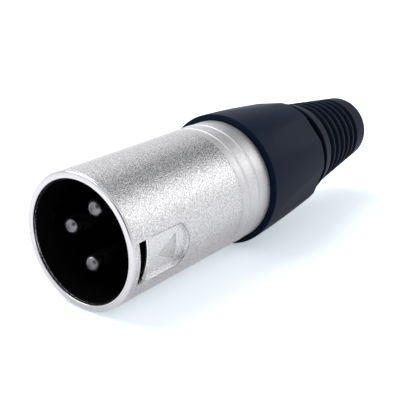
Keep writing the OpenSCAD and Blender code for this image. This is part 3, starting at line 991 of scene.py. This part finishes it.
class PLUG_OT_stage(bpy.types.Operator):
    """Make the floor, the surroundings, the lamps and the camera"""

    bl_idname = "cable_plug.stage"
    bl_label = "Stage"

    def execute(self, context):
        scene = context.scene
        scene.view_settings.view_transform = "Standard"
        levels = scene.plug_stage
        camera = bpy.data.cameras.new("Camera")
        camera.lens, camera.sensor_width = 73.84, 36.0
        camera.clip_start, camera.clip_end = 0.005, 20.0
        holder = add_object("Camera", camera)
        eye = (0.07063, -0.06679, 0.04219)
        right, up, back = (0.79442, 0.60737, 0.0), (-0.21488, 0.28106, 0.93532), (0.56809, -0.74304, 0.35379)
        holder.matrix_world = Matrix.Translation(eye) @ Matrix((right, up, back)).transposed().to_4x4()
        scene.camera = holder

        # The floor touches the rim and the bushing's front edge, so it leans a little
        rim_low, lip_low, span, half = -0.0095, -0.01033, 0.03035, 3.0
        tilt = (lip_low - rim_low) / span
        mesh = bpy.data.meshes.new("floor")
        corners = [(x * half, y * half, rim_low + tilt * y * half) for x, y in SQUARE]
        mesh.from_pydata(corners, [], [(0, 1, 2, 3)])
        floor = add_object("floor", mesh)
        mesh.materials.append(self.floor_material(scene.plug_finish.floor))

        self.make_world(scene, levels.world)
        area_lamp("Key lamp", (-0.55, -0.1, 0.85), distance=0.7, size=(0.6, 0.6), level=levels.key,
                  tint=(0.98, 0.98, 1.0))
        area_lamp("Side lamp", (0.47, 0.75, 0.49), distance=0.6, size=(0.28, 0.2), level=levels.strip,
                  tint=(1.0, 0.99, 0.98))
        # Dark cards that only the metal shows: painted dark reflections in the barrel's band and in the pins'
        # tips
        dark = bpy.data.materials.new("Dark card")
        dark.use_nodes = True
        dark.node_tree.nodes["Principled BSDF"].inputs["Base Color"].default_value = (0.03, 0.032, 0.04, 1)
        card("dark_card", (0.055, 0.72, 0.70), distance=0.45, size=(0.35, 0.30), material=dark)
        card("front_card", (0.5, -0.78, 0.37), distance=0.5, size=(0.40, 0.40), material=dark)
        return {"FINISHED"}

    def floor_material(self, base):
        """A white floor. What the camera sees of it and what the plug mirrors of it each have a lift of
        glowing light: the first keeps the backdrop white, and the second is a painted reflection that only
        the metal shows.

        Both grow with the distance from the mouth. The mirrored one is also lighter just in front of it."""
        material, tree, shader, place = new_material("White floor", 0.0, 0.7)
        shader.inputs["Base Color"].default_value = (*base, 1)
        path = tree.nodes.new("ShaderNodeLightPath")
        lift = tree.nodes.new("ShaderNodeEmission")
        tint = mixed(tree, path.outputs["Is Glossy Ray"], (0.80, 0.92, 1.0), (1.0, 0.95, 0.97))
        tree.links.new(tint, lift.inputs["Color"])
        reach = tree.nodes.new("ShaderNodeVectorMath")
        reach.operation = "LENGTH"
        tree.links.new(place, reach.inputs[0])
        seen = ramp(tree, reach.outputs["Value"], 0.12, 0.7, 0.48, 1.0)
        # Glow that only reflections see: a painted reflection in the metal, strongest just in front of the
        # mouth
        mirrored = ramp(tree, reach.outputs["Value"], 0.03, 0.5, 0.24, 0.3)
        front = ramp(tree, along(tree, place), -0.03, -0.002, 0.5, 0.0)
        near = ramp(tree, reach.outputs["Value"], 0.02, 0.07, 1.0, 0.0)
        mirrored = plus(tree, mirrored, times(tree, front, near))
        seen = times(tree, path.outputs["Is Camera Ray"], seen)
        mirrored = times(tree, path.outputs["Is Glossy Ray"], mirrored)
        tree.links.new(plus(tree, seen, mirrored), lift.inputs["Strength"])
        both = tree.nodes.new("ShaderNodeAddShader")
        tree.links.new(shader.outputs[0], both.inputs[0])
        tree.links.new(lift.outputs[0], both.inputs[1])
        tree.links.new(both.outputs[0], tree.nodes["Material Output"].inputs["Surface"])
        return material

    def make_world(self, scene, level):
        """White surroundings for the camera and for reflections, and a softer level as a light."""
        world = bpy.data.worlds.new("Studio")
        scene.world = world
        world.use_nodes = True
        tree = world.node_tree
        soft = tree.nodes["Background"]
        soft.inputs["Color"].default_value = (0.93, 0.97, 1.0, 1)
        soft.inputs["Strength"].default_value = level
        white = tree.nodes.new("ShaderNodeBackground")
        white.inputs["Color"].default_value = (1, 1, 1, 1)
        path = tree.nodes.new("ShaderNodeLightPath")
        shown = maths(tree, "MAXIMUM", path.outputs["Is Glossy Ray"], path.outputs["Is Transmission Ray"])
        shown = maths(tree, "MAXIMUM", path.outputs["Is Camera Ray"], shown)
        mix = tree.nodes.new("ShaderNodeMixShader")
        tree.links.new(shown, mix.inputs[0])
        tree.links.new(soft.outputs[0], mix.inputs[1])
        tree.links.new(white.outputs[0], mix.inputs[2])
        tree.links.new(mix.outputs[0], tree.nodes["World Output"].inputs["Surface"])


STEPS = (PLUG_OT_finishes, PLUG_OT_shell, PLUG_OT_pins, PLUG_OT_bushing, PLUG_OT_boot, PLUG_OT_stage)
GROUPS = {
    "plug_shell": PlugShellSizes, "plug_pins": PlugPinSizes, "plug_bushing": PlugBushingSizes,
    "plug_boot": PlugBootSizes, "plug_finish": PlugFinish, "plug_stage": PlugStage,
}


class PLUG_PT_panel(bpy.types.Panel):
    """Lists the steps that dress the plug, and the sizes and colours they use"""

    bl_idname = "PLUG_PT_panel"
    bl_label = "Cable plug"
    bl_space_type = "VIEW_3D"
    bl_region_type = "UI"
    bl_category = "Cable plug"

    def draw(self, context):
        for operator in STEPS:
            self.layout.operator(operator.bl_idname)
        for name, group in GROUPS.items():
            box = self.layout.box()
            box.label(text=group.__doc__)
            for key in group.__annotations__:
                box.prop(getattr(context.scene, name), key)


def register():
    for group in GROUPS.values():
        bpy.utils.register_class(group)
    for name, group in GROUPS.items():
        setattr(bpy.types.Scene, name, bpy.props.PointerProperty(type=group))
    for operator in STEPS:
        bpy.utils.register_class(operator)
    bpy.utils.register_class(PLUG_PT_panel)


def unregister():
    bpy.utils.unregister_class(PLUG_PT_panel)
    for operator in reversed(STEPS):
        bpy.utils.unregister_class(operator)
    for name, group in GROUPS.items():
        delattr(bpy.types.Scene, name)
        bpy.utils.unregister_class(group)


def main():
    register()
    for operator in STEPS:
        family, name = operator.bl_idname.split(".")
        getattr(getattr(bpy.ops, family), name)()


if __name__ == "__main__":
    main()
